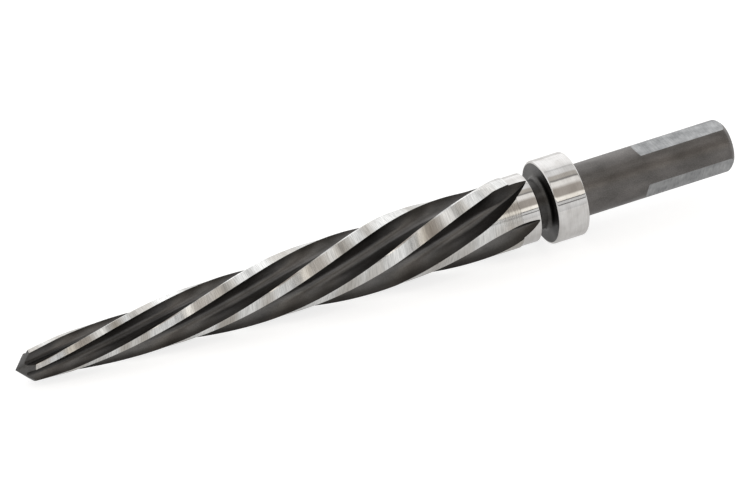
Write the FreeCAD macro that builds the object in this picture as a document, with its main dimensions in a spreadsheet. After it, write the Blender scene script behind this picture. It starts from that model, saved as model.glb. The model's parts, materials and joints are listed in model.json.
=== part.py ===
"""Machine reamer: five left-hand spiral flutes on a tapered body, a collar, and a shank with three flats.

The tool is turned about its own +X axis, point first, and then laid down on its collar and its cutting
edges. One piece of steel, so one body. Lengths are millimetres, angles are degrees.
"""
import FreeCAD, Part
import math
import os
import Sketcher

SIZES = {
    # turned blank
    "point_half_angle": 45.0,      # cone at the point
    "tip_radius": 3.93,            # where the cutting edges start
    "bevel_length": 8.4,           # steeper starting taper behind the point
    "bevel_radius": 4.68,          # radius at its end
    "taper_rate": 0.047,           # radius gained per length along the main taper
    "full_radius": 8.55,           # parallel stretch of the body
    "body_length": 132.2,          # point to the end of the neck
    "neck_radius": 8.35,           # plain ground neck, a hair under the body
    "neck_length": 4.7,
    "groove_width": 3.7,           # relief groove between neck and collar
    "groove_radius": 6.0,
    "groove_bevel": 0.7,           # slope of the groove's lower corners
    "collar_radius": 10.15,
    "collar_width": 7.94,
    "collar_edge": 0.35,           # bevel of the collar's rims
    "shank_radius": 6.35,
    "shank_length": 40.3,
    "shank_chamfer": 1.2,
    "chamfer_crown": 3.0,          # radius of the crowned chamfer at the shank's end
    # drive flats
    "flat_count": 3.0,
    "flat_distance": 5.7,          # from the axis
    "flat_length": 22.86,
    "flat_phase": 83.5,
    # flutes
    "flute_count": 5.0,
    "flute_lead": 149.1,           # one full turn of the left-hand spiral
    "flute_phase": 153.4,          # cutting edge at the point
    "tip_core": 2.0,               # depth of the flutes as what they leave, at the point
    "full_core": 4.85,             # and on the parallel stretch
    "tip_land": 18.7,              # width of a land as an angle, at the point
    "full_land": 24.6,
    "margin_angle": 2.6,           # narrow round margin behind the cutting edge
    "heel_share": 0.943,           # heel radius of a land over its edge radius
    "root_share": 0.56,            # how far the flute's root lies from the edge towards the heel
    "root_flat": 0.06,             # width of the flute's floor over the radius of the section
    "run_out": 14.8,               # length over which the cutter lifts out at the neck
    "cutter_radius": 31.8,
}

REACH = 1.2            # the cutter's section passes the blank by this factor
BACK = 1.6             # and closes outside it at this one
FACE_ARC = 2.2         # radius of the hollow cutting face over the section's radius
FACE_SWING = 3.0       # angle by which that face leans on past the cutting edge
LAND_REACH = 1.5       # the cut behind a land runs on past its margin by this factor
SPARE = 1.0            # overrun of cuts into empty space
LONG_STEPS = 13        # sections along the milled length
SHORT_STEPS = 7        # and along the run-out
SAMPLES_PER_MM = 4


def make_sheet(doc):
    sheet = doc.addObject("Spreadsheet::Sheet", "Sizes")
    for row, (name, value) in enumerate(SIZES.items(), start=1):
        sheet.set("A%d" % row, name)
        sheet.set("B%d" % row, str(value))
        sheet.setAlias("B%d" % row, name)
    doc.recompute()
    return sheet


def bound(text):
    """Expression text with each size's name turned into a reference to the sheet."""
    for name in sorted(SIZES, key=len, reverse=True):
        text = text.replace("<%s>" % name, "Sizes.%s" % name)
    return text


def origin_plane(body, role):
    return next(item for item in body.Origin.OriginFeatures if item.Role == role)


def new_sketch(body, name, role):
    sketch = body.newObject("Sketcher::SketchObject", name)
    sketch.AttachmentSupport = (origin_plane(body, role), "")
    sketch.MapMode = "FlatFace"
    return sketch


def closed_outline(sketch, corners, arcs=()):
    """A closed outline through corners, each (x, y, x expression, y expression), with its place bound
    to the sheet. arcs maps the number of a side to (radius, radius expression, bulge side)."""
    arcs = dict(arcs)
    count = len(corners)
    for side in range(count):
        start = FreeCAD.Vector(corners[side][0], corners[side][1], 0)
        end = FreeCAD.Vector(corners[(side + 1) % count][0], corners[(side + 1) % count][1], 0)
        if side in arcs:
            radius, _, bulge = arcs[side]
            chord = end - start
            sagitta = radius - math.sqrt(radius ** 2 - (chord.Length / 2) ** 2)
            across = FreeCAD.Vector(-chord.y, chord.x, 0).normalize()
            middle = (start + end) * 0.5 + across * (sagitta * bulge)
            sketch.addGeometry(Part.Arc(start, middle, end))
        else:
            sketch.addGeometry(Part.LineSegment(start, end))
    first = [1] * count                # which end of a side is its start: arcs run counter-clockwise
    for side, (_, _, bulge) in arcs.items():
        first[side] = 1 if bulge < 0 else 2
    for side in range(count):
        following = (side + 1) % count
        sketch.addConstraint(Sketcher.Constraint(
            "Coincident", side, 3 - first[side], following, first[following]))
    for side, (x, y, x_text, y_text) in enumerate(corners):
        for kind, axis, value, text in (("DistanceX", -2, x, x_text), ("DistanceY", -1, y, y_text)):
            if text is None:
                sketch.addConstraint(Sketcher.Constraint("PointOnObject", side, first[side], axis))
                continue
            number = sketch.addConstraint(Sketcher.Constraint(kind, -1, 1, side, first[side], value))
            sketch.setExpression("Constraints[%d]" % number, bound(text))
    for side, (radius, text, _) in arcs.items():
        number = sketch.addConstraint(Sketcher.Constraint("Radius", side, radius))
        sketch.setExpression("Constraints[%d]" % number, bound(text))


def turned_blank(body, size):
    point = "<tip_radius> / tan(<point_half_angle>)"
    point_length = size["tip_radius"] / math.tan(math.radians(size["point_half_angle"]))
    bevel_end = point_length + size["bevel_length"]
    taper_end = bevel_end + (size["full_radius"] - size["bevel_radius"]) / size["taper_rate"]
    front = size["body_length"] + size["groove_width"]
    rear = front + size["collar_width"]
    end = rear + size["shank_length"]
    edge, chamfer = size["collar_edge"], size["shank_chamfer"]
    bevel_text = point + " + <bevel_length>"
    taper_text = bevel_text + " + (<full_radius> - <bevel_radius>) / <taper_rate>"
    front_text = "<body_length> + <groove_width>"
    rear_text = front_text + " + <collar_width>"
    end_text = rear_text + " + <shank_length>"
    corners = [
        (0, 0, None, None),
        (end, 0, end_text, None),
        (end, size["shank_radius"] - chamfer, end_text, "<shank_radius> - <shank_chamfer>"),
        (end - chamfer, size["shank_radius"], end_text + " - <shank_chamfer>", "<shank_radius>"),
        (rear, size["shank_radius"], rear_text, "<shank_radius>"),
        (rear, size["collar_radius"] - edge, rear_text, "<collar_radius> - <collar_edge>"),
        (rear - edge, size["collar_radius"], rear_text + " - <collar_edge>", "<collar_radius>"),
        (front + edge, size["collar_radius"], front_text + " + <collar_edge>", "<collar_radius>"),
        (front, size["collar_radius"] - edge, front_text, "<collar_radius> - <collar_edge>"),
        (front, size["full_radius"], front_text, "<full_radius>"),
        (taper_end, size["full_radius"], taper_text, "<full_radius>"),
        (bevel_end, size["bevel_radius"], bevel_text, "<bevel_radius>"),
        (point_length, size["tip_radius"], point, "<tip_radius>"),
    ]
    crowned_chamfer = {2: (size["chamfer_crown"], "<chamfer_crown>", -1)}
    sketch = new_sketch(body, "BlankProfile", "XY_Plane")
    closed_outline(sketch, corners, crowned_chamfer)
    turn = body.newObject("PartDesign::Revolution", "Blank")
    turn.Profile = sketch
    turn.ReferenceAxis = (sketch, ["H_Axis"])
    turn.Angle = 360
    return taper_end


def flute_section(body, size, number, at, at_text):
    """The cutter's outline across the tool at one station. Its x axis runs from the tool's axis through
    the flute's root, with the cutting edge above it and the heel of the neighbouring land below."""
    point_length = size["tip_radius"] / math.tan(math.radians(size["point_half_angle"]))
    bevel_end = point_length + size["bevel_length"]
    bevel_rate = (size["bevel_radius"] - size["tip_radius"]) / size["bevel_length"]
    taper_length = (size["full_radius"] - size["bevel_radius"]) / size["taper_rate"]
    radius = min(size["full_radius"],
                 size["bevel_radius"] + size["taper_rate"] * (at - bevel_end),
                 size["bevel_radius"] + bevel_rate * (at - bevel_end))
    grown = min(1.0, (at - point_length) / (size["bevel_length"] + taper_length))
    core = size["tip_core"] + (size["full_core"] - size["tip_core"]) * grown
    land = size["tip_land"] + (size["full_land"] - size["tip_land"]) * grown
    past = max(0.0, at - size["body_length"] + size["run_out"])
    lift = size["cutter_radius"] - math.sqrt(size["cutter_radius"] ** 2 - past ** 2)
    face = size["root_share"] * (360.0 / size["flute_count"] - land)
    heel = 360.0 / size["flute_count"] - land - face

    point_text = "<tip_radius> / tan(<point_half_angle>)"
    from_bevel = "(%s - %s - <bevel_length>)" % (at_text, point_text)
    taper_text = "(<full_radius> - <bevel_radius>) / <taper_rate>"
    radius_text = (
        "min(<full_radius>; <bevel_radius> + <taper_rate> * {0}; <bevel_radius> + "
        "(<bevel_radius> - <tip_radius>) / <bevel_length> * {0})").format(from_bevel)
    grown_text = "min(1; (%s - %s) / (<bevel_length> + %s))" % (at_text, point_text, taper_text)
    core_text = "(<tip_core> + (<full_core> - <tip_core>) * %s)" % grown_text
    land_text = "(<tip_land> + (<full_land> - <tip_land>) * %s)" % grown_text
    past_text = "max(0; %s - <body_length> + <run_out>)" % at_text
    lift_text = "(<cutter_radius> - sqrt(<cutter_radius>^2 - %s^2))" % past_text
    face_text = "(<root_share> * (360 / <flute_count> - %s))" % land_text
    heel_text = "(360 / <flute_count> - %s - %s)" % (land_text, face_text)

    def corner(share, share_text, angle, angle_text):
        """A place at a share of the radius and an angle from the root, above it where that is positive."""
        turn = math.radians(angle)
        return (lift + radius * share * math.cos(turn), radius * share * math.sin(turn),
                "%s + %s * %s * cos(%s)" % (lift_text, radius_text, share_text, angle_text),
                "%s * %s * sin(%s)" % (radius_text, share_text, angle_text))

    def root_corner(side):
        half = size["root_flat"] * radius / 2
        return (lift + core, side * half, "%s + %s" % (lift_text, core_text),
                "%d * <root_flat> * %s / 2" % (side, radius_text))

    margin = size["margin_angle"] - heel - land
    margin_text = "(<margin_angle> - %s - %s)" % (heel_text, land_text)
    edge = corner(REACH, REACH, face + FACE_SWING, "(%s + %s)" % (face_text, FACE_SWING))
    low = corner(size["heel_share"], "<heel_share>", -heel, "(-%s)" % heel_text)
    rim = corner(1, 1, margin, margin_text)
    on = [low[i] + LAND_REACH * (rim[i] - low[i]) for i in (0, 1)]
    on_text = ["%s + %s * (%s - (%s))" % (low[i], LAND_REACH, rim[i], low[i]) for i in (2, 3)]
    outer = lift + BACK * radius
    outer_text = "%s + %s * %s" % (lift_text, BACK, radius_text)
    corners = [
        edge,
        root_corner(1),
        root_corner(-1),
        low,
        (on[0], on[1], on_text[0], on_text[1]),
        (outer, on[1], outer_text, on_text[1]),
        (outer, edge[1], outer_text, edge[3]),
    ]
    hollow = {0: (FACE_ARC * radius, "%s * %s" % (FACE_ARC, radius_text), -1)}
    sketch = new_sketch(body, "FluteSection%02d" % number, "YZ_Plane")
    sketch.setExpression("AttachmentOffset.Base.z", bound(at_text))
    sketch.setExpression("AttachmentOffset.Rotation.Angle", bound(
        "<flute_phase> - 360 * %s / <flute_lead> - %s" % (at_text, face_text)))
    closed_outline(sketch, corners, hollow)
    return sketch


def cut_flutes(body, size):
    milled = size["body_length"] - size["run_out"]
    stations = []
    for step in range(LONG_STEPS + 1):
        share = step / LONG_STEPS
        stations.append((share * (milled + SPARE) - SPARE,
                         "(%.6g * (<body_length> - <run_out> + %s) - %s)" % (share, SPARE, SPARE)))
    last = size["run_out"] + size["groove_width"] / 2
    for step in range(1, SHORT_STEPS + 1):
        share = step / SHORT_STEPS
        stations.append((milled + share * last,
                         "(<body_length> - <run_out> + %.6g * (<run_out> + <groove_width> / 2))" % share))
    sections = [flute_section(body, size, number, at, text)
                for number, (at, text) in enumerate(stations, start=1)]
    body.Document.recompute()
    flute = body.newObject("PartDesign::SubtractiveLoft", "Flute")
    flute.Profile = sections[0]
    flute.Sections = sections[1:]
    flute.Ruled = False
    body.Document.recompute()
    around(body, flute, "Flutes", "<flute_count>")


def around(body, feature, name, count_text):
    """Repeat a cut evenly about the tool's axis."""
    pattern = body.newObject("PartDesign::PolarPattern", name)
    pattern.Originals = [feature]
    pattern.Axis = (origin_plane(body, "X_Axis"), [""])
    pattern.Angle = 360
    pattern.setExpression("Occurrences", bound(count_text))
    body.Tip = pattern
    body.Document.recompute()


def turn_neck(body, size):
    """The neck, a hair under the body, and the relief groove between it and the collar, with sloping
    corners at its floor."""
    start, width, neck = size["body_length"], size["groove_width"], size["neck_radius"]
    floor, bevel, top = size["groove_radius"], size["groove_bevel"], size["full_radius"] + SPARE
    start_text, end_text = "<body_length>", "<body_length> + <groove_width>"
    top_text, floor_text = "<full_radius> + %s" % SPARE, "<groove_radius>"
    corners = [
        (start - size["neck_length"], neck, start_text + " - <neck_length>", "<neck_radius>"),
        (start, neck, start_text, "<neck_radius>"),
        (start, floor + bevel, start_text, floor_text + " + <groove_bevel>"),
        (start + bevel, floor, start_text + " + <groove_bevel>", floor_text),
        (start + width - bevel, floor, end_text + " - <groove_bevel>", floor_text),
        (start + width, floor + bevel, end_text, floor_text + " + <groove_bevel>"),
        (start + width, top, end_text, top_text),
        (start - size["neck_length"], top, start_text + " - <neck_length>", top_text),
    ]
    sketch = new_sketch(body, "NeckProfile", "XY_Plane")
    closed_outline(sketch, corners)
    groove = body.newObject("PartDesign::Groove", "NeckAndGroove")
    groove.Profile = sketch
    groove.ReferenceAxis = (sketch, ["H_Axis"])
    groove.Angle = 360
    body.Document.recompute()


def cut_flats(body, size):
    """Three flats for the driver, milled from the free end of the shank."""
    low, high, half = size["flat_distance"], size["shank_radius"] + SPARE, size["shank_radius"]
    high_text = "<shank_radius> + %s" % SPARE
    corners = [
        (low, -half, "<flat_distance>", "-<shank_radius>"),
        (high, -half, high_text, "-<shank_radius>"),
        (high, half, high_text, "<shank_radius>"),
        (low, half, "<flat_distance>", "<shank_radius>"),
    ]
    sketch = new_sketch(body, "FlatProfile", "YZ_Plane")
    sketch.setExpression("AttachmentOffset.Base.z", bound(
        "<body_length> + <groove_width> + <collar_width> + <shank_length> - <flat_length>"))
    sketch.setExpression("AttachmentOffset.Rotation.Angle", bound("<flat_phase>"))
    closed_outline(sketch, corners)
    flat = body.newObject("PartDesign::Pocket", "Flat")
    flat.Profile = sketch
    flat.Reversed = True
    flat.setExpression("Length", bound("<flat_length> + %s" % SPARE))
    body.Document.recompute()
    around(body, flat, "Flats", "<flat_count>")


def resting_place(size, shape, taper_end):
    """Lay the tool on the front rim of its collar and on the lowest of its cutting edges, point low, with
    the middle of its outline over the origin."""
    point_length = size["tip_radius"] / math.tan(math.radians(size["point_half_angle"]))
    bevel_end = point_length + size["bevel_length"]
    rim = size["body_length"] + size["groove_width"] + size["collar_edge"]
    slope = math.inf
    samples = int(size["body_length"] - size["run_out"]) * SAMPLES_PER_MM
    for sample in range(samples):
        at = point_length + (size["body_length"] - size["run_out"] - point_length) * sample / samples
        radius = size["full_radius"]
        if at < bevel_end:
            radius = size["tip_radius"] + (size["bevel_radius"] - size["tip_radius"]) * (
                at - point_length) / size["bevel_length"]
        elif at < taper_end:
            radius = size["bevel_radius"] + size["taper_rate"] * (at - bevel_end)
        pitch = 360.0 / size["flute_count"]
        off = (size["flute_phase"] - 360.0 * at / size["flute_lead"] + 90.0) % pitch
        depth = radius * math.cos(math.radians(min(off, pitch - off)))
        slope = min(slope, (size["collar_radius"] - depth) / (rim - at))
    lay = FreeCAD.Rotation(FreeCAD.Vector(0, 1, 0), -math.degrees(math.atan(slope)))
    laid = shape.copy()
    laid.Placement = FreeCAD.Placement(FreeCAD.Vector(), lay)
    box = laid.optimalBoundingBox(False)
    return FreeCAD.Placement(FreeCAD.Vector(-box.Center.x, -box.Center.y, -box.ZMin), lay)


def check(doc, body):
    for item in doc.Objects:
        if "Invalid" in item.State or "Error" in item.State:
            raise RuntimeError("%s is %s" % (item.Name, item.State))
    shape = body.Shape
    if shape.isNull() or not shape.isValid() or len(shape.Solids) != 1:
        raise RuntimeError("the reamer isn't one valid solid")


def main():
    doc = FreeCAD.newDocument("MachineReamer")
    sheet = make_sheet(doc)
    size = {name: float(sheet.get(name)) for name in SIZES}
    body = doc.addObject("PartDesign::Body", "Reamer")
    body.Label = "reamer"
    taper_end = turned_blank(body, size)
    doc.recompute()
    blank = body.Shape.Volume
    cut_flutes(body, size)
    fluted = body.Shape.Volume
    turn_neck(body, size)
    grooved = body.Shape.Volume
    cut_flats(body, size)
    finished = body.Shape.Volume
    body.Placement = resting_place(size, body.Shape, taper_end)
    doc.recompute()
    if not blank > fluted > grooved > finished:
        raise RuntimeError("a cut removed nothing")
    check(doc, body)
    os.makedirs("parts", exist_ok=True)
    body.Shape.exportStep("parts/reamer.step")
    print("volumes: blank %.0f, fluted %.0f, grooved %.0f, finished %.0f" % (
        blank, fluted, grooved, finished))
    print("box:", body.Shape.optimalBoundingBox(False))


main()
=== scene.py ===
"""Machine reamer: a tapered, spiral-fluted reamer with a collar and a three-flat shank, on a pale table.

The tool is one bar of high-speed steel. It is turned to a blank, its flutes and flats are milled out of it,
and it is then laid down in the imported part's frame. Until it is laid down it is modelled about its own
X axis, point at zero, in millimetres.
"""

import json
import math

import bmesh
import bpy
from mathutils import Matrix, Vector


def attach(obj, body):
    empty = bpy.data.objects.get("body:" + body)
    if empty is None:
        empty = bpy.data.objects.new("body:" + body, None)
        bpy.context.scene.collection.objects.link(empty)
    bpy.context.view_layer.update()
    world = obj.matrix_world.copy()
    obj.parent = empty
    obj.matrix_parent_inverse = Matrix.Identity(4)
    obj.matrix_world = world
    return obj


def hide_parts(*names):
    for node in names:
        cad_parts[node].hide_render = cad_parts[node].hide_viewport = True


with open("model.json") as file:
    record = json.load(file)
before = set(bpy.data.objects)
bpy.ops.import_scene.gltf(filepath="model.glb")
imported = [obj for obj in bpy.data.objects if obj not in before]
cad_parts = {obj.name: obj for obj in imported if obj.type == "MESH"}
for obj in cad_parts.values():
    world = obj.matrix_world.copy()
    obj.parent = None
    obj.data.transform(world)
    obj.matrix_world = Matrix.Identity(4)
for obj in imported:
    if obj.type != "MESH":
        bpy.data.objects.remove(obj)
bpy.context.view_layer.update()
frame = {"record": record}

# ---- Turned blank
# The bar is turned between centres: a 90 degree point, a short steep lead, the long taper, a parallel
# stretch, a ground neck, a relief groove, the collar that carries the thrust, and the straight shank.
HALF_POINT_ANGLE = math.radians(45.0)
TIP_RADIUS = 3.93
LEAD_LENGTH, LEAD_RADIUS = 8.4, 4.68
TAPER_RATE = 0.047
BODY_RADIUS, BODY_LENGTH = 8.55, 132.2
NECK_RADIUS, NECK_LENGTH, NECK_STEP = 8.35, 4.7, 0.1
GROOVE_RADIUS, GROOVE_WIDTH = 6.0, 3.7
COLLAR_RADIUS, COLLAR_WIDTH = 10.15, 7.94
SHANK_RADIUS, SHANK_LENGTH, SHANK_CHAMFER = 6.35, 40.3, 1.2

# how much of each corner the turner rounds off
STEP_ROUNDING, NECK_ROUNDING, GROOVE_ROUNDING, COLLAR_ROUNDING = 0.05, 0.2, 1.1, 0.5
SHOULDER_ROUNDING, CHAMFER_ROUNDING, END_ROUNDING = 0.25, 0.4, 0.3
ROUNDING_STEPS = 6
TURNED_SIDES = 288
LOOP_SPACING = 1.0
HAIR = 0.01
MERGED = 1e-4

tip_start = TIP_RADIUS / math.tan(HALF_POINT_ANGLE)
lead_end = tip_start + LEAD_LENGTH
taper_end = lead_end + (BODY_RADIUS - LEAD_RADIUS) / TAPER_RATE
neck_start = BODY_LENGTH - NECK_LENGTH
collar_front = BODY_LENGTH + GROOVE_WIDTH
collar_rear = collar_front + COLLAR_WIDTH
tool_length = collar_rear + SHANK_LENGTH

# finishes, in the order of the piece's material slots
MARGIN, LAND, POLISHED, FLUTE, SHANK, FLAT, POINT, GROOVE = range(8)

# each corner's place along the tool, its radius, and its rounding
profile = [
    (0.0, 0.0, 0.0),
    (tip_start, TIP_RADIUS, 0.0),
    (lead_end, LEAD_RADIUS, 0.0),
    (taper_end, BODY_RADIUS, 0.0),
    (neck_start, BODY_RADIUS, STEP_ROUNDING),
    (neck_start + NECK_STEP, NECK_RADIUS, STEP_ROUNDING),
    (BODY_LENGTH, NECK_RADIUS, NECK_ROUNDING),
    (BODY_LENGTH, GROOVE_RADIUS, GROOVE_ROUNDING),
    (collar_front, GROOVE_RADIUS, GROOVE_ROUNDING),
    (collar_front, COLLAR_RADIUS, COLLAR_ROUNDING),
    (collar_rear, COLLAR_RADIUS, COLLAR_ROUNDING),
    (collar_rear, SHANK_RADIUS, SHOULDER_ROUNDING),
    (tool_length - SHANK_CHAMFER, SHANK_RADIUS, CHAMFER_ROUNDING),
    (tool_length, SHANK_RADIUS - SHANK_CHAMFER, END_ROUNDING),
    (tool_length, 0.0, 0.0),
]
blank = bmesh.new()
corners = [blank.verts.new((along, 0.0, radius)) for along, radius, _ in profile]
for first, second in zip(corners, corners[1:]):
    blank.edges.new((first, second))
for corner, (_, _, rounding) in zip(corners, profile):
    if rounding:
        bmesh.ops.bevel(blank, geom=[corner], offset=rounding, offset_type="OFFSET", segments=ROUNDING_STEPS,
                        profile=0.5, affect="VERTICES", material=-1)
for edge in list(blank.edges):
    loops = int(edge.calc_length() / LOOP_SPACING)
    if loops:
        bmesh.ops.subdivide_edges(blank, edges=[edge], cuts=loops)
bmesh.ops.spin(blank, geom=blank.verts[:] + blank.edges[:], cent=(0, 0, 0), axis=(1, 0, 0),
               angle=math.tau, steps=TURNED_SIDES, use_merge=True)
bmesh.ops.remove_doubles(blank, verts=blank.verts, dist=MERGED)
bmesh.ops.recalc_face_normals(blank, faces=blank.faces)
for face in blank.faces:
    middle = face.calc_center_median()
    radius = math.hypot(middle.y, middle.z)
    if middle.x < tip_start:
        face.material_index = POINT
    elif middle.x < neck_start:
        face.material_index = MARGIN
    elif middle.x < BODY_LENGTH and radius > NECK_RADIUS - NECK_ROUNDING:
        face.material_index = POLISHED
    elif collar_front <= middle.x <= collar_rear and radius > COLLAR_RADIUS - COLLAR_ROUNDING:
        face.material_index = POLISHED
    elif middle.x < collar_rear - HAIR:
        face.material_index = GROOVE
    else:
        face.material_index = SHANK
blank_mesh = bpy.data.meshes.new("turned_blank")
blank.to_mesh(blank_mesh)
blank.free()
reamer = bpy.data.objects.new("spiral_reamer", blank_mesh)
bpy.context.collection.objects.link(reamer)

# ---- Flute cutter
# Five left-hand flutes are milled along the taper. A flute has a hollow cutting face, a rounded root and
# a heel wall, and the same pass relieves the land behind the next cutting edge, but for a narrow margin.
# The cutter lifts out of the steel on an arc as it reaches the neck, where it leaves a sharper root.
FLUTE_COUNT = 5
FLUTE_LEAD, FLUTE_PHASE = 149.1, 153.4
TIP_CORE, BODY_CORE = 2.0, 4.85
TIP_LAND, BODY_LAND = 18.7, 24.6
MARGIN_ANGLE = 2.6
HEEL_SHARE, ROOT_SHARE = 0.943, 0.56
ROOT_ROUNDING, ROOT_SINK = 0.30, 0.3
RUN_OUT, CUTTER_RADIUS = 14.8, 31.8
RUN_OUT_ROUNDING, SHARPENED_LENGTH = 0.06, 7.0
FACE_HOLLOW, HEEL_HOLLOW = 0.02, 0.015

# how far the cutter stands out of the steel, and how finely it is divided
AHEAD = 1.0
REACH, BACK, FACE_SWING, LAND_REACH = 1.2, 1.6, 3.0, 1.5
FACE_STEPS, ROOT_STEPS, HEEL_STEPS, LAND_STEPS = 8, 12, 10, 6
MILLED_ROWS, LIFT_ROWS = 150, 36


def polar(radius, degrees):
    return Vector((radius * math.cos(math.radians(degrees)), radius * math.sin(math.radians(degrees))))


def bowed(start, end, hollow, steps):
    """Points from start up to, but without, end, along a shallow bow to the right."""
    chord = end - start
    aside = Vector((chord.y, -chord.x)) * hollow
    shares = [step / steps for step in range(steps)]
    return [start + chord * share + aside * (4 * share * (1 - share)) for share in shares]


def flute_outline(along):
    """The cutter's closed outline at a distance from the point, and the angle that it is turned to there."""
    radius = min(BODY_RADIUS, LEAD_RADIUS + TAPER_RATE * (along - lead_end),
                 LEAD_RADIUS + (LEAD_RADIUS - TIP_RADIUS) / LEAD_LENGTH * (along - lead_end))
    grown = min(1.0, (along - tip_start) / (taper_end - tip_start))
    core = TIP_CORE + (BODY_CORE - TIP_CORE) * grown
    land = TIP_LAND + (BODY_LAND - TIP_LAND) * grown
    past = max(0.0, along - BODY_LENGTH + RUN_OUT)
    lift = Vector((CUTTER_RADIUS - math.sqrt(CUTTER_RADIUS ** 2 - past ** 2), 0.0))
    sharpened = min(1.0, past / SHARPENED_LENGTH)
    rounding = radius * (ROOT_ROUNDING + (RUN_OUT_ROUNDING - ROOT_ROUNDING) * sharpened)
    gap = 360.0 / FLUTE_COUNT - land
    face, heel_angle = ROOT_SHARE * gap, (1 - ROOT_SHARE) * gap
    edge = lift + polar(REACH * radius, face + FACE_SWING)
    root = lift + Vector((core - ROOT_SINK * rounding, 0.0))
    heel = lift + polar(HEEL_SHARE * radius, -heel_angle)
    rim = lift + polar(radius, MARGIN_ANGLE - heel_angle - land)
    upper = root + (edge - root).normalized() * rounding
    lower = root + (heel - root).normalized() * rounding
    beyond = heel + LAND_REACH * (rim - heel)
    outside = lift.x + BACK * radius
    points = bowed(edge, upper, FACE_HOLLOW, FACE_STEPS)
    for step in range(ROOT_STEPS):
        share = step / ROOT_STEPS
        points.append(upper.lerp(root, share).lerp(root.lerp(lower, share), share))
    points += bowed(lower, heel, HEEL_HOLLOW, HEEL_STEPS)
    points += bowed(heel, beyond, 0.0, LAND_STEPS)
    points += [beyond, Vector((outside, beyond.y)), Vector((outside, edge.y)), edge]
    return points, FLUTE_PHASE - 360.0 * along / FLUTE_LEAD - face


lift_start = BODY_LENGTH - RUN_OUT
stations = [-AHEAD + (lift_start + AHEAD) * row / MILLED_ROWS for row in range(MILLED_ROWS)]
stations += [lift_start + (RUN_OUT + GROOVE_WIDTH / 2) * row / LIFT_ROWS for row in range(LIFT_ROWS + 1)]
outlines = [flute_outline(along) for along in stations]
rows, columns = len(stations) - 1, len(outlines[0][0]) - 1
land_start = FACE_STEPS + ROOT_STEPS + HEEL_STEPS
cutter = bmesh.new()
bmesh.ops.create_grid(cutter, x_segments=rows, y_segments=columns, size=0.5)
column_of = {}
for vertex in cutter.verts:
    row = round((vertex.co.x + 0.5) * rows)
    column_of[vertex] = round((vertex.co.y + 0.5) * columns)
    points, turn = outlines[row]
    across = Matrix.Rotation(math.radians(turn), 2) @ points[column_of[vertex]]
    vertex.co = (stations[row], across.x, across.y)
for face in cutter.faces:
    column = min(column_of[vertex] for vertex in face.verts)
    face.material_index = LAND if land_start <= column <= land_start + LAND_STEPS else FLUTE
bmesh.ops.remove_doubles(cutter, verts=cutter.verts, dist=MERGED)
bmesh.ops.holes_fill(cutter, edges=[edge for edge in cutter.edges if edge.is_boundary])
bmesh.ops.recalc_face_normals(cutter, faces=cutter.faces)

cutters = []
for turn in range(FLUTE_COUNT):
    mesh = bpy.data.meshes.new("flute_cutter")
    cutter.to_mesh(mesh)
    mesh.transform(Matrix.Rotation(math.tau * turn / FLUTE_COUNT, 4, "X"))
    cutters.append(bpy.data.objects.new("flute_cutter", mesh))
cutter.free()

# ---- Flats
# Three flats, 120 degrees apart, are milled along the end of the shank for the jaws of the driver. The
# end mill leaves a bright ramp where each flat begins.
FLAT_COUNT = 3
FLAT_DISTANCE, FLAT_LENGTH, FLAT_PHASE = 5.7, 22.86, 83.5
RAMP_LENGTH = 1.6
OVERCUT = 1.0

flat_start = tool_length - FLAT_LENGTH
depth = SHANK_RADIUS + OVERCUT - FLAT_DISTANCE
for turn in range(FLAT_COUNT):
    block = bmesh.new()
    bmesh.ops.create_cube(block, size=1.0)
    bmesh.ops.scale(block, vec=(FLAT_LENGTH + OVERCUT, depth, 2 * SHANK_RADIUS), verts=block.verts)
    centre = (tool_length + (OVERCUT - FLAT_LENGTH) / 2, FLAT_DISTANCE + depth / 2, 0.0)
    bmesh.ops.translate(block, vec=centre, verts=block.verts)
    ramp = [vertex for vertex in block.verts
            if vertex.co.x < flat_start + HAIR and vertex.co.y > FLAT_DISTANCE + HAIR]
    bmesh.ops.translate(block, vec=(-RAMP_LENGTH, 0.0, 0.0), verts=ramp)
    turned = Matrix.Rotation(math.radians(FLAT_PHASE + 360.0 * turn / FLAT_COUNT), 3, "X")
    bmesh.ops.rotate(block, cent=(0, 0, 0), matrix=turned, verts=block.verts)
    for face in block.faces:
        face.material_index = MARGIN if face.calc_center_median().x < flat_start + HAIR else FLAT
    mesh = bpy.data.meshes.new("flat_cutter")
    block.to_mesh(mesh)
    block.free()
    cutters.append(bpy.data.objects.new("flat_cutter", mesh))

# ---- Finishes
# The lands, neck and collar are ground bright after hardening. The flutes, groove and point keep their
# black oxide, the shank its dark hardened skin, and the flats show the mill.
MM = 0.001

shank_mount = next(mount for mount in frame["record"]["mounts"] if mount["name"] == "shank")
tool_axis = Vector(shank_mount["axis"]).normalized()
lay = math.atan2(tool_axis.z, tool_axis.x)
apex = Vector(shank_mount["pos_m"]) - tool_axis * (tool_length * MM)


def grey(level):
    return (level, level, level)


def new_steel(name, roughness):
    """A metal and the tool's own coordinates, in millimetres from the point, for its patterns."""
    material = bpy.data.materials.new(name)
    material.use_nodes = True
    tree = material.node_tree
    shader = tree.nodes["Principled BSDF"]
    shader.inputs["Metallic"].default_value = 1.0
    shader.inputs["Roughness"].default_value = roughness
    where = tree.nodes.new("ShaderNodeTexCoord")
    own = tree.nodes.new("ShaderNodeMapping")
    own.vector_type = "TEXTURE"
    own.inputs["Location"].default_value = apex
    own.inputs["Rotation"].default_value = (0.0, -lay, 0.0)
    own.inputs["Scale"].default_value = (MM, MM, MM)
    tree.links.new(where.outputs["Object"], own.inputs["Vector"])
    return material, tree, shader, own.outputs["Vector"]


def reckon(tree, operation, *values):
    """The result of one sum, whose values are numbers or other nodes' outputs."""
    step = tree.nodes.new("ShaderNodeMath")
    step.operation = operation
    for socket, value in zip(step.inputs, values):
        if isinstance(value, float):
            socket.default_value = value
        else:
            tree.links.new(value, socket)
    return step.outputs["Value"]


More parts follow.
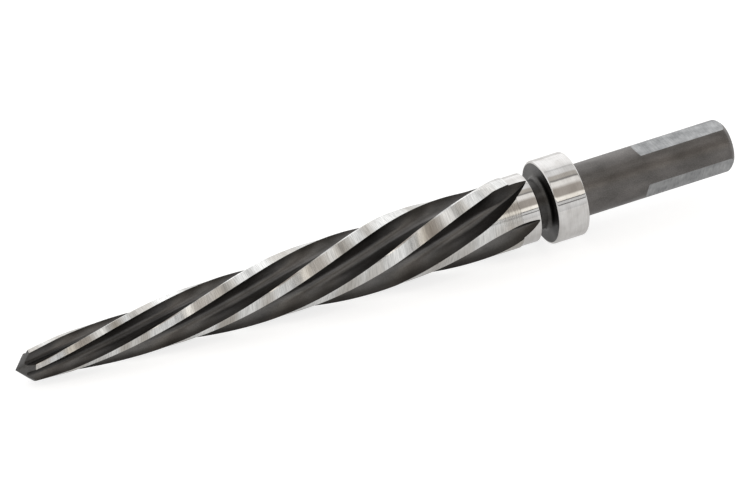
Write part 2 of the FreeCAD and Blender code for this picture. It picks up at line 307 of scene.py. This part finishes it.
def grain(tree, vector, per_mm, detail=2.0, turn=0.0):
    """Noise with its own number of waves in a millimetre along and across the tool."""
    stretch = tree.nodes.new("ShaderNodeMapping")
    stretch.inputs["Scale"].default_value = per_mm
    stretch.inputs["Rotation"].default_value = (0.0, 0.0, turn)
    noise = tree.nodes.new("ShaderNodeTexNoise")
    noise.inputs["Scale"].default_value = 1.0
    noise.inputs["Detail"].default_value = detail
    tree.links.new(vector, stretch.inputs["Vector"])
    tree.links.new(stretch.outputs["Vector"], noise.inputs["Vector"])
    return noise.outputs["Fac"]


def tones(tree, value, stops):
    """A value turned into a tone, by stops of position and colour."""
    ramp = tree.nodes.new("ShaderNodeValToRGB")
    ramp.color_ramp.elements.remove(ramp.color_ramp.elements[1])
    ramp.color_ramp.elements[0].position = stops[0][0]
    ramp.color_ramp.elements[0].color = (*stops[0][1], 1.0)
    for position, colour in stops[1:]:
        ramp.color_ramp.elements.new(position).color = (*colour, 1.0)
    tree.links.new(value, ramp.inputs["Fac"])
    return ramp.outputs["Color"]


def darkened(tree, colour, shade):
    """A colour multiplied by a shade."""
    mix = tree.nodes.new("ShaderNodeMix")
    mix.data_type = "RGBA"
    mix.blend_type = "MULTIPLY"
    mix.inputs["Factor"].default_value = 1.0
    tree.links.new(colour, mix.inputs["A"])
    tree.links.new(shade, mix.inputs["B"])
    return mix.outputs["Result"]


def marked(tree, shader, height, strength, depth):
    """Fine marks on the surface, their depth in millimetres."""
    bump = tree.nodes.new("ShaderNodeBump")
    bump.inputs["Strength"].default_value = strength
    bump.inputs["Distance"].default_value = depth * MM
    tree.links.new(height, bump.inputs["Height"])
    tree.links.new(bump.outputs["Normal"], shader.inputs["Normal"])


def ground_steel(name, roughness):
    """Bright ground steel with bands across the land and fine wheel marks."""
    material, tree, shader, own = new_steel(name, roughness)
    bands = grain(tree, own, (0.16, 0.03, 0.03), detail=1.5, turn=0.35)
    wheel = grain(tree, own, (5.0, 0.35, 0.35), detail=2.5, turn=0.35)
    colour = tones(tree, bands, [(0.34, (0.48, 0.455, 0.42)), (0.46, (0.62, 0.605, 0.58)),
                                 (0.54, (0.70, 0.70, 0.69)), (0.66, (0.88, 0.88, 0.87))])
    fine = tones(tree, wheel, [(0.32, grey(0.74)), (0.62, grey(1.0))])
    tree.links.new(darkened(tree, colour, fine), shader.inputs["Base Color"])
    marked(tree, shader, wheel, 0.25, 0.02)
    return material


def polished_steel():
    """The neck and the collar's rim, ground fine between centres."""
    material, tree, shader, own = new_steel("polished_steel", 0.07)
    lines = grain(tree, own, (14.0, 0.15, 0.15), detail=3.0)
    cloud = grain(tree, own, (0.3, 0.3, 0.3), detail=2.0)
    colour = tones(tree, cloud, [(0.35, (0.60, 0.585, 0.57)), (0.65, (0.72, 0.71, 0.70))])
    fine = tones(tree, lines, [(0.35, grey(0.88)), (0.60, grey(1.0))])
    tree.links.new(darkened(tree, colour, fine), shader.inputs["Base Color"])
    marked(tree, shader, lines, 0.12, 0.01)
    return material


def painted_flute_shading(tree, own):
    """Painted shade and highlight across the flute by depth: painted shade in the root, a painted highlight
    band just above it, painted shade again toward the edges.
    """
    parts = tree.nodes.new("ShaderNodeSeparateXYZ")
    tree.links.new(own, parts.inputs["Vector"])
    squares = reckon(tree, "ADD", reckon(tree, "POWER", parts.outputs["Y"], 2.0),
                     reckon(tree, "POWER", parts.outputs["Z"], 2.0))
    widening = reckon(tree, "MULTIPLY", parts.outputs["X"], TAPER_RATE)
    taper = reckon(tree, "ADD", widening, LEAD_RADIUS - TAPER_RATE * lead_end)
    edges = reckon(tree, "MINIMUM", taper, BODY_RADIUS)
    height = reckon(tree, "DIVIDE", reckon(tree, "SQRT", squares), edges)
    return tones(tree, height, [(0.50, grey(0.30)), (0.60, grey(1.0)), (0.72, grey(0.85)),
                                (0.88, (0.38, 0.37, 0.36)), (1.0, (0.30, 0.29, 0.28))])


def black_oxide(name, roughness, dark, light, strength=0.25, painted_shading=False):
    """Satin black skin with soft cloudy patches and fine specks, and where asked a painted highlight band
    and painted shade across the flute by depth.
    """
    material, tree, shader, own = new_steel(name, roughness)
    cloud = grain(tree, own, (0.15, 0.3, 0.3), detail=4.0)
    speck = grain(tree, own, (5.0, 5.0, 5.0), detail=2.0)
    colour = tones(tree, cloud, [(0.32, dark), (0.68, light)])
    if painted_shading:
        # painted shade in the flute root and toward the edges, with a painted highlight band just above the
        # root
        colour = darkened(tree, colour, painted_flute_shading(tree, own))
    fine = tones(tree, speck, [(0.30, grey(0.70)), (0.70, grey(1.0))])
    tree.links.new(darkened(tree, colour, fine), shader.inputs["Base Color"])
    marked(tree, shader, speck, strength, 0.03)
    return material


def milled_steel():
    """The flats: grey steel with the lines of the end mill across them."""
    material, tree, shader, own = new_steel("milled_flat", 0.38)
    mill = grain(tree, own, (3.2, 0.4, 0.4), detail=4.0, turn=0.5)
    cloud = grain(tree, own, (0.35, 0.35, 0.35), detail=3.0)
    colour = tones(tree, cloud, [(0.35, (0.26, 0.265, 0.27)), (0.65, (0.40, 0.405, 0.41))])
    fine = tones(tree, mill, [(0.32, grey(0.76)), (0.62, grey(1.0))])
    tree.links.new(darkened(tree, colour, fine), shader.inputs["Base Color"])
    marked(tree, shader, mill, 0.3, 0.03)
    return material


finishes = {
    MARGIN: ground_steel("ground_margin", 0.16),
    LAND: ground_steel("ground_land", 0.19),
    POLISHED: polished_steel(),
    # the flute colour carries painted shade and a painted highlight band by depth
    FLUTE: black_oxide("black_flute", 0.30, (0.115, 0.112, 0.110), (0.185, 0.178, 0.172), 0.2, painted_shading=True),
    GROOVE: black_oxide("black_oxide", 0.30, (0.06, 0.058, 0.056), (0.11, 0.107, 0.104)),
    SHANK: black_oxide("hardened_shank", 0.36, (0.130, 0.123, 0.118), (0.195, 0.184, 0.177)),
    FLAT: milled_steel(),
    POINT: black_oxide("black_point", 0.33, (0.065, 0.063, 0.062), (0.13, 0.128, 0.125)),
}
for piece in [reamer] + cutters:
    for slot in sorted(finishes):
        piece.data.materials.append(finishes[slot])

# ---- Milling and laying down
# Each cutter takes its steel from the blank, and leaves its own finish on the faces that it cuts. The
# finished tool is then laid on its collar and its lowest edges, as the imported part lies.
SHARP_ANGLE = math.radians(24.0)

for mill in cutters:
    bpy.context.collection.objects.link(mill)
    cut = reamer.modifiers.new("cut", "BOOLEAN")
    cut.operation = "DIFFERENCE"
    cut.solver = "EXACT"
    cut.object = mill
milled = bpy.data.meshes.new_from_object(reamer.evaluated_get(bpy.context.evaluated_depsgraph_get()))
reamer.modifiers.clear()
for mill in cutters:
    bpy.data.objects.remove(mill)
reamer.data = milled

shape = bmesh.new()
shape.from_mesh(milled)
bmesh.ops.remove_doubles(shape, verts=shape.verts, dist=MERGED)
bmesh.ops.dissolve_degenerate(shape, edges=shape.edges, dist=MERGED)
laid = Matrix.Translation(apex) @ Matrix.Rotation(-lay, 4, "Y") @ Matrix.Scale(MM, 4)
bmesh.ops.transform(shape, verts=shape.verts, matrix=laid)
for face in shape.faces:
    face.smooth = True
for edge in shape.edges:
    sides = edge.link_faces
    edge.smooth = len(sides) == 2 and edge.calc_face_angle() < SHARP_ANGLE and (
        sides[0].material_index == sides[1].material_index)
shape.to_mesh(milled)
shape.free()

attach(reamer, "root")
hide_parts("reamer")

# ---- Table
# A pale table, far larger than the tool. It gives the tool a plain light from below, looks white, and
# shows less bright in the polished steel.
TABLE_HALF = 40.0
TABLE_TONE = 0.45
SEEN_GLOW, MIRRORED_SHARE = 0.75, 0.62

board = bmesh.new()
bmesh.ops.create_grid(board, x_segments=1, y_segments=1, size=TABLE_HALF)
table_mesh = bpy.data.meshes.new("table")
board.to_mesh(table_mesh)
board.free()
table = bpy.data.objects.new("table", table_mesh)
bpy.context.collection.objects.link(table)

white = bpy.data.materials.new("white_table")
white.use_nodes = True
tree = white.node_tree
shader = tree.nodes["Principled BSDF"]
shader.inputs["Base Color"].default_value = (*grey(TABLE_TONE), 1.0)
shader.inputs["Roughness"].default_value = 0.9
shader.inputs["Emission Color"].default_value = (1.0, 1.0, 1.0, 1.0)
rays = tree.nodes.new("ShaderNodeLightPath").outputs
seen = reckon(tree, "MULTIPLY_ADD", rays["Is Glossy Ray"], MIRRORED_SHARE, rays["Is Camera Ray"])
tree.links.new(reckon(tree, "MULTIPLY", seen, SEEN_GLOW), shader.inputs["Emission Strength"])
table_mesh.materials.append(white)

# ---- Light tent
# Long panels run beside the tool and over it, from the front of the table to the back. The polished rims
# mirror the narrow seams between them as thin dark lines, and the warm panel above the seams.
SEAM = grey(0.12)
DUSK = (0.32, 0.31, 0.30)
BACK_WALL = (0.60, 0.57, 0.53)
SHADE = (0.50, 0.46, 0.42)
WARM = (1.32, 1.27, 1.18)
CREAM = (1.1, 1.08, 1.05)

tent = bpy.data.worlds.new("light_tent")
tent.use_nodes = True
bpy.context.scene.world = tent
tree = tent.node_tree
sky = tree.nodes["Background"]
sky.inputs["Strength"].default_value = 1.0
direction = tree.nodes.new("ShaderNodeTexCoord")
parts = tree.nodes.new("ShaderNodeSeparateXYZ")
tree.links.new(direction.outputs["Generated"], parts.inputs["Vector"])
front = reckon(tree, "MULTIPLY", parts.outputs["Y"], -1.0)
climb = reckon(tree, "ARCTAN2", parts.outputs["Z"], front)

# each stop's place on the half turn from front to back, and the panel's tone
panels = tones(tree, reckon(tree, "DIVIDE", climb, math.pi), [
    (0.000, grey(0.75)), (0.070, grey(0.95)), (0.088, grey(0.95)),
    (0.093, SEAM), (0.101, SEAM), (0.107, grey(0.85)), (0.138, grey(0.85)), (0.143, SEAM), (0.151, SEAM),
    (0.157, WARM), (0.200, WARM), (0.225, SHADE), (0.335, SHADE), (0.385, CREAM), (0.440, CREAM),
    (0.455, DUSK), (0.468, DUSK), (0.485, BACK_WALL), (0.535, BACK_WALL),
    (0.560, grey(0.95)), (0.630, grey(0.95)), (0.650, grey(0.70)), (0.670, grey(1.1)),
    (0.740, grey(1.3)), (1.000, grey(1.3))])
tree.links.new(panels, sky.inputs["Color"])

# ---- Camera
# A long lens looks down on the tool from the front, a little from the point's side, so that the axis
# climbs across the view toward the shank.
VIEW_ELEVATION, VIEW_AZIMUTH = math.radians(35.2), math.radians(-26.0)
VIEW_DISTANCE, VIEW_WIDTH = 5.0, 0.1748
VIEW_OFFSET = (0.00065, 0.00150)
SENSOR_WIDTH = 36.0

toward = Vector((math.sin(VIEW_AZIMUTH) * math.cos(VIEW_ELEVATION),
                 -math.cos(VIEW_AZIMUTH) * math.cos(VIEW_ELEVATION), math.sin(VIEW_ELEVATION)))
facing = toward.to_track_quat("Z", "Y")
right, up = facing @ Vector((1, 0, 0)), facing @ Vector((0, 1, 0))
middle = apex + tool_axis * (tool_length / 2 * MM)
lens = bpy.data.cameras.new("camera")
lens.sensor_width = SENSOR_WIDTH
lens.lens = SENSOR_WIDTH * VIEW_DISTANCE / VIEW_WIDTH
lens.clip_end = 2 * TABLE_HALF
camera = bpy.data.objects.new("camera", lens)
bpy.context.collection.objects.link(camera)
camera.location = middle + right * VIEW_OFFSET[0] + up * VIEW_OFFSET[1] + toward * VIEW_DISTANCE
camera.rotation_euler = facing.to_euler()
bpy.context.scene.camera = camera
bpy.context.scene.view_settings.view_transform = "Standard"
